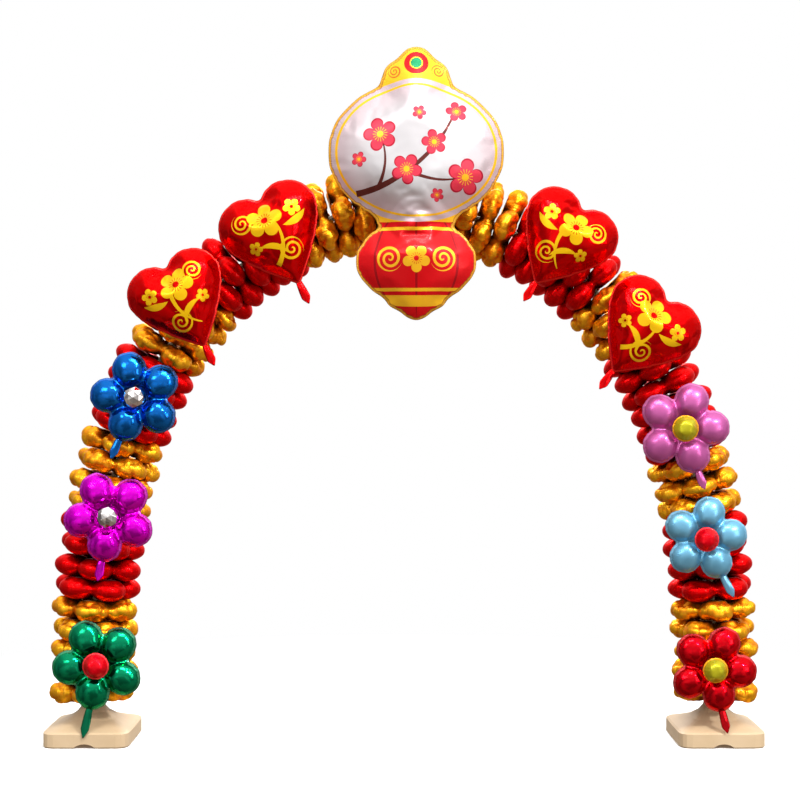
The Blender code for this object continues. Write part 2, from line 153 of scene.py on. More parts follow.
MEDALLION_FOIL = Foil(0.38, 0.40, 0.10, 0.12, 0.5)
EDGE_HALF_WIDTH = 0.0013
PUCKER_DEPTH = 0.0045
SWELL_DEPTH = 0.004


# ---- settings ----
def colour(name, where, value):
    return bpy.props.FloatVectorProperty(
        name=name, description="Colour of the " + where, subtype="COLOR", size=3, min=0, max=1, default=value
    )


def amount(name, text, value, least, most, unit="LENGTH"):
    return bpy.props.FloatProperty(name=name, description=text, default=value, min=least, max=most, unit=unit)


class FoilArchSettings(bpy.types.PropertyGroup):
    """Colours and sizes of the arch's balloons."""

    gold: colour("Gold foil", "gold layers", (1.0, 0.485, 0.014))
    red: colour("Red foil", "red layers", (0.72, 0.0, 0.001))
    heart: colour("Heart foil", "hearts", (0.80, 0.0, 0.001))
    blue: colour("Blue foil", "blue flower", (0.004, 0.13, 0.50))
    magenta: colour("Magenta foil", "magenta flower", (0.72, 0.0, 0.62))
    green: colour("Green foil", "green flower", (0.0, 0.24, 0.10))
    pink: colour("Pink foil", "pink flower", (0.50, 0.10, 0.32))
    sky: colour("Sky foil", "pale blue flower", (0.15, 0.40, 0.58))
    crimson: colour("Crimson foil", "crimson flower", (0.66, 0.0, 0.006))
    pearl: colour("Pearl foil", "medallion", (0.50, 0.48, 0.49))
    weld_width: amount("Weld width", "Width of the hearts' and the medallion's weld", 0.0032, 0.001, 0.02)
    crumple: amount("Crumple", "Depth of the creases in the gold foil", 0.0095, 0.0, 0.02)
    pressure: amount("Pressure", "Pressure that fills the balloons", 14.0, 1.0, 60.0, "NONE")


# ---- node helpers ----
def arithmetic(operation, swapped=False):
    """A method that adds a Math node of this operation."""
    return lambda self, *other: calc(operation, *((*other, self) if swapped else (self, *other)))


class Value:
    """A node's output. Arithmetic on it adds Math nodes to its tree."""

    __add__ = arithmetic("ADD")
    __sub__ = arithmetic("SUBTRACT")
    __rsub__ = arithmetic("SUBTRACT", swapped=True)
    __mul__ = arithmetic("MULTIPLY")
    __truediv__ = arithmetic("DIVIDE")
    __pow__ = arithmetic("POWER")
    __rpow__ = arithmetic("POWER", swapped=True)
    __abs__ = arithmetic("ABSOLUTE")
    __lt__ = arithmetic("LESS_THAN")
    __gt__ = arithmetic("GREATER_THAN")

    def __init__(self, socket):
        self.socket = socket
        self.tree = socket.id_data


def feed(socket, value):
    """Links a node's output to an input, or sets the input's own value."""
    if isinstance(value, Value):
        socket.id_data.links.new(value.socket, socket)
    else:
        socket.default_value = value


def wire(made, inputs):
    """Feeds a node's inputs by name or number."""
    for key, value in inputs.items():
        feed(made.inputs[key], value)


def calc(operation, *values, clamp=False):
    """A Math node's output, from numbers and other outputs."""
    tree = next(each.tree for each in values if isinstance(each, Value))
    made = tree.nodes.new("ShaderNodeMath")
    made.operation = operation
    made.use_clamp = clamp
    wire(made, dict(enumerate(values)))
    return Value(made.outputs[0])


def node(tree, kind, inputs=None, **settings):
    """A new shader node with its settings and fed inputs."""
    made = tree.nodes.new("ShaderNode" + kind)
    for name, value in settings.items():
        setattr(made, name, value)
    wire(made, inputs or {})
    return made


def source(tree, kind, inputs=None, output=0, **settings):
    """One output of a new shader node."""
    return Value(node(tree, kind, inputs, **settings).outputs[output])


def position(tree):
    return source(tree, "TexCoord", output="Object")


def reading(tree, name, output="Fac"):
    """What a mesh attribute says at each point."""
    return source(tree, "Attribute", output=output, attribute_name=name)


def grain_at(place, scale, detail=2.0, roughness=0.5):
    """A noise texture's grey."""
    inputs = {"Vector": place, "Scale": scale, "Detail": detail, "Roughness": roughness}
    return source(place.tree, "TexNoise", inputs, "Fac")


def cells_at(place, scale, output="Distance"):
    return source(place.tree, "TexVoronoi", {"Vector": place, "Scale": scale}, output)


def one_tone(colours):
    """One number of a colour output."""
    return source(colours.tree, "SeparateColor", {"Color": colours})


def split(vector):
    """A vector output's three numbers."""
    made = node(vector.tree, "SeparateXYZ", {"Vector": vector})
    return [Value(each) for each in made.outputs]


def distance(x, y):
    return calc("SQRT", x * x + y * y)


def step_up(value, low, high):
    """0 below low, 1 above high, smooth between; low may be the greater."""
    inputs = {"Value": value, "From Min": low, "From Max": high}
    return source(value.tree, "MapRange", inputs, interpolation_type="SMOOTHSTEP")


def mix(share, a, b):
    """A colour mix of a and b."""
    made = node(share.tree, "Mix", data_type="RGBA")
    wire(made, {0: share, 6: a, 7: b})
    return Value(made.outputs[2])


def rgba(rgb, dim=1.0):
    return (rgb[0] * dim, rgb[1] * dim, rgb[2] * dim, 1.0)


def new_group(name, inputs, outputs):
    """A shader node group: a None input is a vector, the rest are numbers; its inputs and its end sockets."""
    tree = bpy.data.node_groups.new(name, "ShaderNodeTree")
    for label, value in inputs.items():
        kind = "NodeSocketVector" if value is None else "NodeSocketFloat"
        socket = tree.interface.new_socket(label, in_out="INPUT", socket_type=kind)
        if value is not None:
            socket.default_value = value
    for label in outputs:
        tree.interface.new_socket(label, in_out="OUTPUT", socket_type="NodeSocketFloat")
    given = {each.name: Value(each) for each in tree.nodes.new("NodeGroupInput").outputs if each.name}
    return tree, given, tree.nodes.new("NodeGroupOutput")


def use_group(tree, name, **inputs):
    """A placed node group's outputs by name; an input's name is the keyword with spaces and a capital."""
    made = tree.nodes.new("ShaderNodeGroup")
    made.node_tree = bpy.data.node_groups[name]
    wire(made, {key.replace("_", " ").capitalize(): value for key, value in inputs.items()})
    return {each.name: Value(each) for each in made.outputs}


def stamp(cut, kind, across, up, **inputs):
    """A printed motif's outputs, its middle at this place on the cut."""
    return use_group(cut.tree, kind, cut=cut, across=across, up=up, **inputs)


def build_foil_group():
    """Wrinkles and weld of a filled foil balloon, from its seam attributes, with painted shade in its creases
    and where its layers meet.
    """
    tree, given, end = new_group(
        "Foil surface",
        {"Crumple": 0.0, "Weld": 0.005, "Line at": 0.0},
        ("Height", "Band", "Line", "Patches", "Creases", "Gap"),
    )
    cell = 26.0
    place = position(tree)
    rim = reading(tree, "rim")
    puckers = grain_at(reading(tree, "seam_point", "Vector"), 130.0, roughness=0.6)
    fade = 2.718 ** (rim * -55.0)
    swells = grain_at(place, 16.0, 1.0)
    facets = cells_at(place, cell)
    crumpled = cells_at(place, cell * 2.7) * 0.16 + facets
    height = (puckers - 0.5) * (fade * PUCKER_DEPTH) + swells * SWELL_DEPTH
    # painted shade: darker towards the edges of each facet
    fine_crease_shade = step_up(facets, 0.35, 0.75) * 0.25
    outputs = {
        "Height": height - crumpled * given["Crumple"],
        "Band": rim < given["Weld"],
        "Line": abs(rim - given["Line at"]) < EDGE_HALF_WIDTH,
        "Patches": swells,
        "Creases": calc("MAXIMUM", reading(tree, "fold"), fine_crease_shade),
        "Gap": reading(tree, "gap"),
    }
    wire(end, outputs)


def motif(name, inputs, outputs):
    """A printed motif's group, and each place's distance and angle from the motif's middle on the cut."""
    _, given, end = new_group(name, {"Cut": None, "Across": 0.0, "Up": 0.0, **inputs}, outputs)
    x, up, _ = split(given["Cut"])
    x, up = x - given["Across"], up - given["Up"]
    if "Size" in given:
        x, up = x / given["Size"], up / given["Size"]
    return given, end, distance(x, up), calc("ARCTAN2", up, x)


def build_blossom_group():
    """A five-petal blossom on the cut: its petals, their edge and the stamens."""
    given, end, reach, angle = motif("Blossom", {"Size": 0.05, "Turn": 0.0}, ("Petals", "Edge", "Eye"))
    turn = angle + given["Turn"]
    wave = abs(calc("COSINE", turn * (PETALS / 2)))
    inward = wave**0.55 * 0.50 + 0.50 - reach
    petals = step_up(inward, 0.0, 0.03)
    spokes = calc("COSINE", turn * (3.0 * PETALS)) > 0.72
    stamens = spokes * step_up(reach, 0.44, 0.40)
    eye = calc("MAXIMUM", stamens, step_up(reach, 0.20, 0.17))
    edge = calc("SUBTRACT", petals, step_up(inward, 0.09, 0.12), clamp=True)
    wire(end, {"Petals": petals, "Edge": edge, "Eye": eye * petals})


def build_curl_group():
    """A brushed spiral curl on the cut, thick at its root and thin at its end."""
    given, end, reach, angle = motif("Curl", {"Size": 0.05, "Turn": 0.0, "Hand": 1.0}, ("Mask",))
    pitch = 0.46
    turns = (angle * given["Hand"] + given["Turn"]) / tau
    phase = calc("FRACT", reach / pitch - turns)
    stroke = abs(phase - 0.5) < reach * 0.13 + 0.14
    wire(end, {"Mask": stroke * ((reach < 1.0) * (reach > 0.06))})


def build_brush_group():
    """A brushed arc on the cut: a stroke that thins to its end, or with Leaf at 1 a leaf pointed at both."""
    inputs = {"Radius": 0.1, "Start": 0.0, "Sweep": 1.0, "Width": 0.005, "Leaf": 0.0}
    given, end, reach, angle = motif("Brush", inputs, ("Mask",))
    along = calc("FRACT", (angle - given["Start"]) / tau) * tau / given["Sweep"]
    stroke = along * -0.75 + 1.0
    leaf = calc("SINE", along * pi)
    shape = stroke + given["Leaf"] * (leaf - stroke)
    inside = abs(reach - given["Radius"]) < given["Width"] * shape
    wire(end, {"Mask": inside * (along < 1.0)})


def new_material(name):
    """An empty node material with its Principled shader."""
    made = bpy.data.materials.new(name)
    made.use_nodes = True
    return made, made.node_tree, made.node_tree.nodes["Principled BSDF"]


def foil_material(name, rgb, foil, rim_rgb=None, paint=None, band_rgb=None):
    """A filled foil's finish: wrinkles, weld band, light edge line and painted shade in the creases and where
    layers meet; paint(tree, colour) adds its print.
    """
    made, tree, shader = new_material(name)
    surface = use_group(tree, "Foil surface", crumple=foil.crumple, weld=foil.weld, line_at=foil.line_at)
    crease_shade_rgb = (rgb[0] * 0.68, rgb[1] * 0.30, rgb[2] * 0.12, 1.0)
    painted_shade_rgb = (rgb[0] * 0.16, rgb[1] * 0.05, rgb[2] * 0.05, 1.0)
    base = mix(surface["Patches"] * 0.45, rgba(rgb), rgba(rgb, 0.72))
    # painted shade: darker in the creases
    base = mix(surface["Creases"] * foil.hollow, base, crease_shade_rgb)
    # painted shade: darker where neighbouring layers meet and over the tails
    base = mix(surface["Gap"], base, painted_shade_rgb)
    grain = grain_at(position(tree), 90.0, 3.0)
    rough = surface["Band"] * 0.12 + (grain * 0.10 + (foil.shine - 0.05))
    metallic = foil.metallic
    if paint is not None:
        base, ink = paint(tree, base)
        if ink is not None:
            rough = ink * 0.14 + rough
            metallic = calc("MULTIPLY_ADD", ink, -0.6, metallic, clamp=True)
    edge = rim_rgb or tuple(min(1.0, c * 1.15 + 0.04) for c in rgb)
    base = mix(surface["Band"] * 0.75, base, rgba(band_rgb or rgb, 0.55))
    base = mix(surface["Line"] * 0.85, base, rgba(edge))
    relief = {"Height": surface["Height"], "Strength": foil.relief, "Distance": 1.0}
    finish = {
        "Base Color": base,
        "Roughness": rough,
        "Metallic": metallic,
        "Specular Tint": rgba([0.15 + 0.85 * c / max(rgb) for c in rgb]),
        "Coat Weight": foil.coat,
        "Coat Roughness": foil.coat_roughness,
        "Normal": source(tree, "Bump", relief, "Normal"),
    }
    wire(shader, finish)
    return made


# ---- mesh helpers ----
@contextmanager
def reshaping(mesh):
    """The mesh as a bmesh, written back at the end."""
    bm = bmesh.new()
    bm.from_mesh(mesh)
    yield bm
    bm.to_mesh(mesh)
    bm.free()


def mesh_of(name, bm):
    """A new mesh with the bmesh's faces; the bmesh ends here."""
    mesh = bpy.data.meshes.new(name)
    bm.to_mesh(mesh)
    bm.free()
    return mesh


def hold(mesh, kind, **settings):
    """An object that holds the mesh under one modifier, and the modifier."""
    holder = bpy.data.objects.new("holder", mesh)
    bpy.context.collection.objects.link(holder)
    modifier = holder.modifiers.new("shaping", kind)
    for name, value in settings.items():
        setattr(modifier, name, value)
    return holder, modifier


def release(holder):
    """The held mesh with its modifier applied."""
    graph = bpy.context.evaluated_depsgraph_get()
    mesh = bpy.data.meshes.new_from_object(holder.evaluated_get(graph))
    bpy.data.objects.remove(holder, do_unlink=True)
    return mesh


def subdivide(mesh):
    """The mesh with one smooth subdivision; its attributes go with it."""
    return release(hold(mesh, "SUBSURF", levels=1, render_levels=1)[0])


def smooth(bm, verts, rounds):
    for _ in range(rounds):
        bmesh.ops.smooth_vert(
            bm, verts=verts, factor=0.5, use_axis_x=True, use_axis_y=True, use_axis_z=True
        )


def bounded(value):
    """The value kept between 0 and 1."""
    return min(max(value, 0.0), 1.0)


def middle_of(name):
    """The middle of a measured part's box."""
    low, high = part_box(name)
    return (low + high) / 2


# ---- flat cuts and filling ----
def ellipse(x, y, wide, tall, count):
    turns = [tau * i / count for i in range(count)]
    return [(x + wide * cos(turn), y + tall * sin(turn)) for turn in turns]


def circle(x, y, radius):
    return ellipse(x, y, radius, radius, 72)


def petal_centres(spread):
    turns = [tau * k / PETALS for k in range(PETALS)]
    return [(spread * cos(turn), spread * sin(turn)) for turn in turns]


def petal_cut(spread, radius, hub, voxel):
    """Five petals on a ring and the hub that joins them, as one flat cut."""
    petals = [circle(x, y, radius) for x, y in petal_centres(spread)]
    return cut_sheet([*petals, circle(0.0, 0.0, hub)], voxel)


def cut_sheet(parts, voxel, thickness=0.012):
    """A flat cut as one closed envelope lying in XY: parts are outlines, each a list of points."""
    bm = bmesh.new()
    for outline in parts:
        ring = [bm.verts.new((x, y, -thickness / 2)) for x, y in outline]
        raised = bmesh.ops.extrude_face_region(bm, geom=[bm.faces.new(ring)])
        tops = [v for v in raised["geom"] if isinstance(v, bmesh.types.BMVert)]
        bmesh.ops.translate(bm, vec=(0.0, 0.0, thickness), verts=tops)
    bmesh.ops.recalc_face_normals(bm, faces=bm.faces)
    return trim_sheet(mesh_of("cut", bm), voxel)


def trim_sheet(mesh, voxel):
    """Joins the parts into one even mesh, cuts it at its middle and mirrors it, so that the rim is clean."""
    even = release(hold(mesh, "REMESH", mode="VOXEL", voxel_size=voxel)[0])
    with reshaping(even) as bm:
        everything = [*bm.verts, *bm.edges, *bm.faces]
        bmesh.ops.bisect_plane(
            bm, geom=everything, dist=1e-5, plane_co=(0, 0, 0), plane_no=(0, 0, 1), clear_inner=True
        )
        bmesh.ops.mirror(bm, geom=[*bm.verts, *bm.edges, *bm.faces], axis="Z", merge_dist=1e-4)
        bmesh.ops.remove_doubles(bm, verts=bm.verts, dist=1e-4)
        bmesh.ops.scale(bm, vec=(1.0, 1.0, 0.1), verts=bm.verts)
        bmesh.ops.recalc_face_normals(bm, faces=bm.faces)
    return even


def sheet_of(p):
    """Which sheet of the cut a point lies on: 1 the upper, -1 the lower, 0 the rim between them."""
    return 0.0 if abs(p.z) < 1e-5 else copysign(1.0, p.z)


def fill(mesh, pressure, frames, pinned=None):
    """Blows a flat cut up by cloth pressure and marks rim distance, seam point and cut place on it."""
    flat = [v.co.copy() for v in mesh.vertices]
    rim = [p for p in flat if sheet_of(p) == 0.0]
    near = KDTree(len(rim))
    for i, p in enumerate(rim):
        near.insert(p, i)
    near.balance()
    found = [near.find((p.x, p.y, 0.0)) for p in flat]
    mesh = blow_up(mesh, pressure, frames, pinned)
    mesh.attributes.new("rim", "FLOAT", "POINT").data.foreach_set("value", [d for _, _, d in found])
    seams = [c for at, _, _ in found for c in at]
    mesh.attributes.new("seam_point", "FLOAT_VECTOR", "POINT").data.foreach_set("vector", seams)
    places = [c for p in flat for c in (p.x, p.y, sheet_of(p))]
    mesh.attributes.new("cut", "FLOAT_VECTOR", "POINT").data.foreach_set("vector", places)
    return mesh


def blow_up(mesh, pressure, frames, pinned):
    """The cut after so many frames as cloth under pressure; pinned(place) says which points stay flat."""
    holder, cloth = hold(mesh, "CLOTH")
    settings = cloth.settings
    settings.quality = 5
    settings.mass = 0.04
    settings.tension_stiffness = settings.compression_stiffness = 50.0
    settings.shear_stiffness = 25.0
    settings.bending_stiffness = 0.15
    settings.air_damping = 2.0
    settings.use_pressure = True
    settings.uniform_pressure_force = pressure
    settings.effector_weights.gravity = 0.0
    cloth.point_cache.frame_start = 1
    cloth.point_cache.frame_end = frames
    if pinned is not None:
        pins = holder.vertex_groups.new(name="weld")
        pins.add([v.index for v in mesh.vertices if pinned(v.co)], 1.0, "REPLACE")
        settings.vertex_group_mass = "weld"
    scene = bpy.context.scene
    scene.frame_start, scene.frame_end = 1, frames
    for moment in range(1, frames + 1):
        scene.frame_set(moment)
    filled = release(holder)
    scene.frame_set(1)
    return filled


def fit(mesh, low, high, depth, inner):
    """Scales a filled cut to its box, or with no low to the reach in high, and gives the cut's scale.

    The rim goes back to the cut line, and so does the share inner of everything within it."""
    with reshaping(mesh) as bm:
        rims = bm.verts.layers.float["rim"]
        cuts = bm.verts.layers.float_vector["cut"]
        small = [min(v.co[i] for v in bm.verts) for i in range(3)]
        large = [max(v.co[i] for v in bm.verts) for i in range(3)]
        grow = 1.0
        if low is None:
            grow = high / max(hypot(v[cuts].x, v[cuts].y) for v in bm.verts)
            low = [min(v[cuts][i] for v in bm.verts) * grow for i in range(2)]
            high = [max(v[cuts][i] for v in bm.verts) * grow for i in range(2)]
        for v in bm.verts:
            held = inner + (1.0 - inner) * exp(-v[rims] / 0.035)
            for i in (0, 1):
                place = low[i] + (v.co[i] - small[i]) / (large[i] - small[i]) * (high[i] - low[i])
                v.co[i] = place + (v[cuts][i] * grow - place) * held
            v.co.z *= depth / max(large[2], -small[2])
            if v[cuts].z == 0.0:
                v.co.z = 0.0
        smooth(bm, [v for v in bm.verts if v[cuts].z != 0.0 and v[rims] < 0.020], 4)
    return grow


def draw_weld(mesh, grow, weld, rounds=8):
    """Sets the rim back on the cut line, evens it out along its loop and draws the flat weld out from it."""
    with reshaping(mesh) as bm:
        cuts = bm.verts.layers.float_vector["cut"]
        loop = []
        for v in bm.verts:
            if v[cuts].z == 0.0:
                v.co = (v[cuts].x * grow, v[cuts].y * grow, 0.0)
                beside = [edge.other_vert(v) for edge in v.link_edges]
                beside = [each for each in beside if each[cuts].z == 0.0]
                if len(beside) == 2:
                    loop.append((v, beside))
        for _ in range(rounds):
            evened = [v.co * 0.5 + (a.co + b.co) * 0.25 for v, (a, b) in loop]
            for (v, _), place in zip(loop, evened):
                v.co = place
        bm.normal_update()
        outward = {}
        for v, (a, b) in loop:
            away = Vector((b.co.y - a.co.y, a.co.x - b.co.x, 0.0)).normalized()
            outward[v] = away if away.dot(v.normal) > 0 else -away
        for v in bm.verts:
            pulls = [outward[each] for each in (e.other_vert(v) for e in v.link_edges) if each in outward]
            if v not in outward and pulls and weld > 0:
                v.co += sum(pulls, Vector()) / len(pulls) * weld * 0.5
                v.co.z *= 0.25
        for v, away in outward.items():
            v.co += away * weld


def round_petals(mesh, spread, radius, depth, share):
    """Draws a filled five-petal cut towards five round petals of this depth."""
    centres = petal_centres(spread)
    with reshaping(mesh) as bm:
        cuts = bm.verts.layers.float_vector["cut"]
        sheets = [v for v in bm.verts if v[cuts].z != 0.0]
        for v in sheets:
            near = min(hypot(v.co.x - x, v.co.y - y) for x, y in centres)
            full = depth * sqrt(max(1.0 - (near / radius) ** 2, 0.0))
            v.co.z = (abs(v.co.z) + (full - abs(v.co.z)) * share) * v[cuts].z
        smooth(bm, sheets, 2)


def add_tail(target, turn, reach, length, width, spread, shade):
    """Joins a wavy flat filling tail to a balloon's mesh, from this reach out at this angle on the cut; shade
    is the painted shade over the whole tail.
    """
    bm = bmesh.new()
    bmesh.ops.create_grid(bm, x_segments=6, y_segments=14, size=0.5)
    for v in bm.verts:
        along = v.co.y + 0.5
        swell = TAIL_NECK + (spread - TAIL_NECK) * along + 0.16 * sin(pi * along)
        close = min(1.0, (1.0 - along) * 3.4 + 0.12)
        v.co.x *= width * swell * close
        v.co.y = along * (length + TAIL_TUCK) - TAIL_TUCK
        v.co.z = 0.0022 * sin(along * 5.0) * sin(v.co.x * 130.0 + 1.0) + 0.0010 * cos(v.co.x * 260.0)
    bmesh.ops.solidify(bm, geom=list(bm.faces), thickness=TAIL_THICKNESS)
    bmesh.ops.recalc_face_normals(bm, faces=bm.faces)
    root = Matrix.Translation((reach * cos(turn), reach * sin(turn), 0.0))
    aim = Matrix.Rotation(turn - pi / 2, 4, "Z") @ Matrix.Rotation(TAIL_LEAN, 4, "X")
    bmesh.ops.transform(bm, matrix=root @ aim, verts=bm.verts)
    rim = bm.verts.layers.float.new("rim")
    seam = bm.verts.layers.float_vector.new("seam_point")
    cut = bm.verts.layers.float_vector.new("cut")
    gap = bm.verts.layers.float.new("gap")
    for v in bm.verts:
        v[rim] = 0.05
        v[seam] = v.co
        v[cut] = (5.0, 5.0, -1.0)  # beyond every print
        # painted shade: the whole tail darkens by this share
        v[gap] = shade
    tail = mesh_of("tail", bm)
    target.attributes.new("gap", "FLOAT", "POINT")
    with reshaping(target) as bm:
        bm.from_mesh(tail)


def add_piece(name, mesh, finish, stands_for, shaded_smooth=True):
    """A finished piece on the body, standing for its measured part."""
    obj = bpy.data.objects.new(name, mesh)
    bpy.context.collection.objects.link(obj)
    mesh.materials.clear()
    mesh.materials.append(finish)
    mesh.polygons.foreach_set("use_smooth", [shaded_smooth] * len(mesh.polygons))
    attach(obj, "root")
    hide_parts(stands_for)


# ---- the route ----
def lean(s):
    """The pole's angle from upright at arc distance s from the left foot."""
    if s > HALF_ARCH:
        return pi - lean(2 * HALF_ARCH - s)
    return pi / 2 * (max(s, 0.0) / HALF_ARCH) ** BEND_POWER


def route(stops, steps=4000):
    """The centre line's x and z at each arc distance in stops, which rise."""
    step = 2 * HALF_ARCH / steps
    x, z, line = 0.0, POLE_START_Z, [(0.0, POLE_START_Z)]
    for i in range(steps):
        angle = lean(step * (i + 0.5))
        x, z = x + sin(angle) * step, z + cos(angle) * step
        line.append((x, z))
    found = []
    for s in stops:
        i = min(int(s / step), steps - 1)
        share = s / step - i
        found.append(tuple(a + (b - a) * share for a, b in zip(line[i], line[i + 1])))
    return [(px - x / 2, pz) for px, pz in found]


# ---- the pieces and the stage, each with its operator ----
def crumpled_layer(filled, layer, is_gold, crumple):
    """A copy of the filled cut with its own crumples, pressed flat where neighbours meet, with painted shade
    in its creases and where it meets its neighbours.
    """
    mesh = filled.copy()
    draw = Random(layer * 7 + 3)
    shift = Vector([draw.uniform(-50, 50) for _ in range(3)])
    wave_depth = 0.006 if is_gold else 0.003
    rims = mesh.attributes["rim"].data
    normals = [v.normal.copy() for v in mesh.vertices]
    painted_crease_shades, painted_shades = [], []
    for v, rim, normal in zip(mesh.vertices, rims, normals):
        share = 0.45 + 0.55 * min(rim.value / 0.02, 1.0)
        push = noise.noise(v.co * 9.0 + shift) * wave_depth * share
        fold = 0.0
        if is_gold:
            near, _ = noise.voronoi(v.co * CRUMPLES_ACROSS + shift)
            dent = 0.5 - near[0] * near[0] * 2.0 - 0.45 * exp(-(near[1] - near[0]) / 0.14)
            push += crumple * share * dent
            # painted shade: how far the colour darkens in this crease
            fold = bounded(-dent * 1.5)
        wide = 1.0 + 0.03 * noise.noise(v.co * 5.0 - shift)
        v.co = Vector((v.co.x * wide, v.co.y * wide, v.co.z)) + normal * push
        reach = hypot(v.co.x, v.co.y)
        limit = PRESSED_DEPTH + LOOSE_DEPTH * bounded((reach - PRESSED_RADIUS) / 0.030)
        firm, give = limit * 0.8, limit * 0.2
        over = abs(v.co.z) - firm
        if over > 0:
            v.co.z = copysign(firm + give * (1 - exp(-over / give)), v.co.z)
        # painted shade: darker towards the hub, most where the layer presses on its neighbours
        inward = bounded((0.128 - reach) / 0.038)
        painted_crease_shades.append(fold)
        painted_shades.append(inward * (0.35 + 0.65 * min(abs(v.co.z) / 0.036, 1.0)))
    for name, values in (("fold", painted_crease_shades), ("gap", painted_shades)):
        mesh.attributes.new(name, "FLOAT", "POINT").data.foreach_set("value", values)
    return mesh


def layer_place(layer, stop):
    """Where a layer sits on the pole: every second one is turned by half a petal, each a little askew."""
    draw = Random(layer * 13 + 5)
    angle = lean(FIRST_SEAM + layer * LAYER_PITCH)
    along = Vector((sin(angle), 0.0, cos(angle)))
    outward = Vector((-cos(angle), 0.0, sin(angle)))
    petal = tau / PETALS
    turn = pi / 2 + (layer % 2) * petal / 2 + draw.randrange(PETALS) * petal
    turn += draw.uniform(-0.05, 0.05)
    spin = Matrix.Rotation(turn, 4, "Z") @ Matrix.Rotation(pi * draw.randrange(2), 4, "X")
    tilt = Matrix.Rotation(radians(draw.uniform(-2.0, 2.0)), 4, "X")
    tilt @= Matrix.Rotation(radians(draw.uniform(-2.0, 2.0)), 4, "Y")
    axes = Matrix((outward, FRONT, along)).transposed().to_4x4()
    return Matrix.Translation((stop[0], POLE_Y, stop[1])) @ axes @ tilt @ spin


class ThreadLayers(bpy.types.Operator):
    """Fills the five-petal layers and threads them on the pole in their gold and red bands"""

    bl_idname = "foil_arch.thread_layers"
    bl_label = "Thread the layers"

    def execute(self, context):
        settings = context.scene.foil_arch
        spread, radius = 0.120, 0.079
        mesh = petal_cut(spread, radius, hub=0.078, voxel=0.007)
        filled = fill(mesh, settings.pressure * 1.3, frames=20, pinned=lambda p: hypot(p.x, p.y) < 0.026)
        grow = fit(filled, None, LAYER_REACH + 0.001, LAYER_DEPTH, inner=0.3)
        draw_weld(filled, grow, weld=0.0, rounds=3)
        round_petals(filled, spread * grow, radius * grow + 0.001, LAYER_DEPTH, share=0.75)
        foils = {
            "gold": (foil_material("gold foil", settings.gold, GOLD_FOIL), 0.7),
            "red": (foil_material("red foil", settings.red, RED_FOIL), 0.85),
        }
        bands = sorted(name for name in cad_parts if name.startswith("band_"))
        counts = zip(bands, LAYERS_IN_BANDS, strict=True)
        on_band = [name for name, count in counts for _ in range(count)]
        stops = route([FIRST_SEAM + k * LAYER_PITCH for k in range(LAYER_COUNT)])
        for layer, (band, stop) in enumerate(zip(on_band, stops, strict=True)):
            foil = band.split("_")[-1]
            finish, filling = foils[foil]
            shaped = crumpled_layer(filled, layer, foil == "gold", settings.crumple)
            shaped.transform(layer_place(layer, stop))
            add_piece(f"layer_{layer + 1:02d}_{foil}", shaped, finish, band)
        return {"FINISHED"}


def fill_ball(pressure):
    """The round balloon in the middle of four of the flowers."""
    ball = fill(cut_sheet([circle(0.0, 0.0, BALL_CUT)], voxel=0.006), pressure, frames=20)
    for each in ball.attributes["cut"].data:
        each.vector = each.vector * (BALL_RADIUS / BALL_CUT)
    fit(ball, (-BALL_RADIUS, -BALL_RADIUS), (BALL_RADIUS, BALL_RADIUS), BALL_RADIUS * 0.7, inner=0.4)
    ball = subdivide(ball)
    draw_weld(ball, 1.0, weld=0.003)
    return ball


def paint_collar(tree, base, pale):
    """The weld round the flower's middle, a darker ring between two pale lines."""
    x, up, _ = split(reading(tree, "cut", "Vector"))
    reach = distance(x, up)
    for radius, half, tone, share in (
        (0.053, 0.0075, rgba(pale, 0.35), 0.7),
        (0.047, 0.0016, rgba(pale), 0.9),
        (0.061, 0.0013, rgba(pale), 0.8),
    ):
        base = mix((abs(reach - radius) < half) * share, base, tone)
    return base, None


def make_flower(flower, filled, settings):
    mesh = filled.copy()
    first = radians(flower.first_petal)
    mesh.transform(Matrix.Rotation(first, 4, "Z") @ Matrix.Scale(flower.size, 4))
    lowest = min((first + tau * k / PETALS for k in range(PETALS)), key=sin)
    reach = FLOWER_REACH * flower.size
    add_tail(mesh, lowest, reach, flower.tail, width=0.030, spread=0.95, shade=0.5)
    name = "flower_" + flower.foil
    mesh.transform(Matrix.Translation((flower.x, middle_of(name).y, flower.z)) @ FACE_FRONT)
    pearly = flower.foil in ("pink", "sky")
    rgb = getattr(settings, flower.foil)
    pale = tuple(min(1.0, c * 1.2 + (0.05 if pearly else 0.10)) for c in rgb)
    foil = foil_material(
        flower.foil + " foil",
        rgb,
        PEARLY_FOIL if pearly else GLOSSY_FOIL,
        pale,
        lambda tree, base: paint_collar(tree, base, pale),
    )
    add_piece(name + "_foil", mesh, foil, name)


def make_ball(flower, ball):
    mesh = ball.copy()
    draw = Random(len(flower.foil))
    mesh.transform(Matrix.Rotation(draw.uniform(0, 6), 4, "Z") @ Matrix.Scale(flower.size, 4))
    name = "middle_" + flower.foil
    mesh.transform(Matrix.Translation(middle_of(name)) @ FACE_FRONT)
    olive = flower.middle == "olive_ball"
    rgb, rim = ((0.50, 0.45, 0.015), (0.80, 0.30, 0.01)) if olive else ((0.76, 0.0, 0.008), None)
    finish = foil_material(flower.foil + " middle foil", rgb, BALL_FOIL, rim)
    add_piece(name + "_foil", mesh, finish, name)


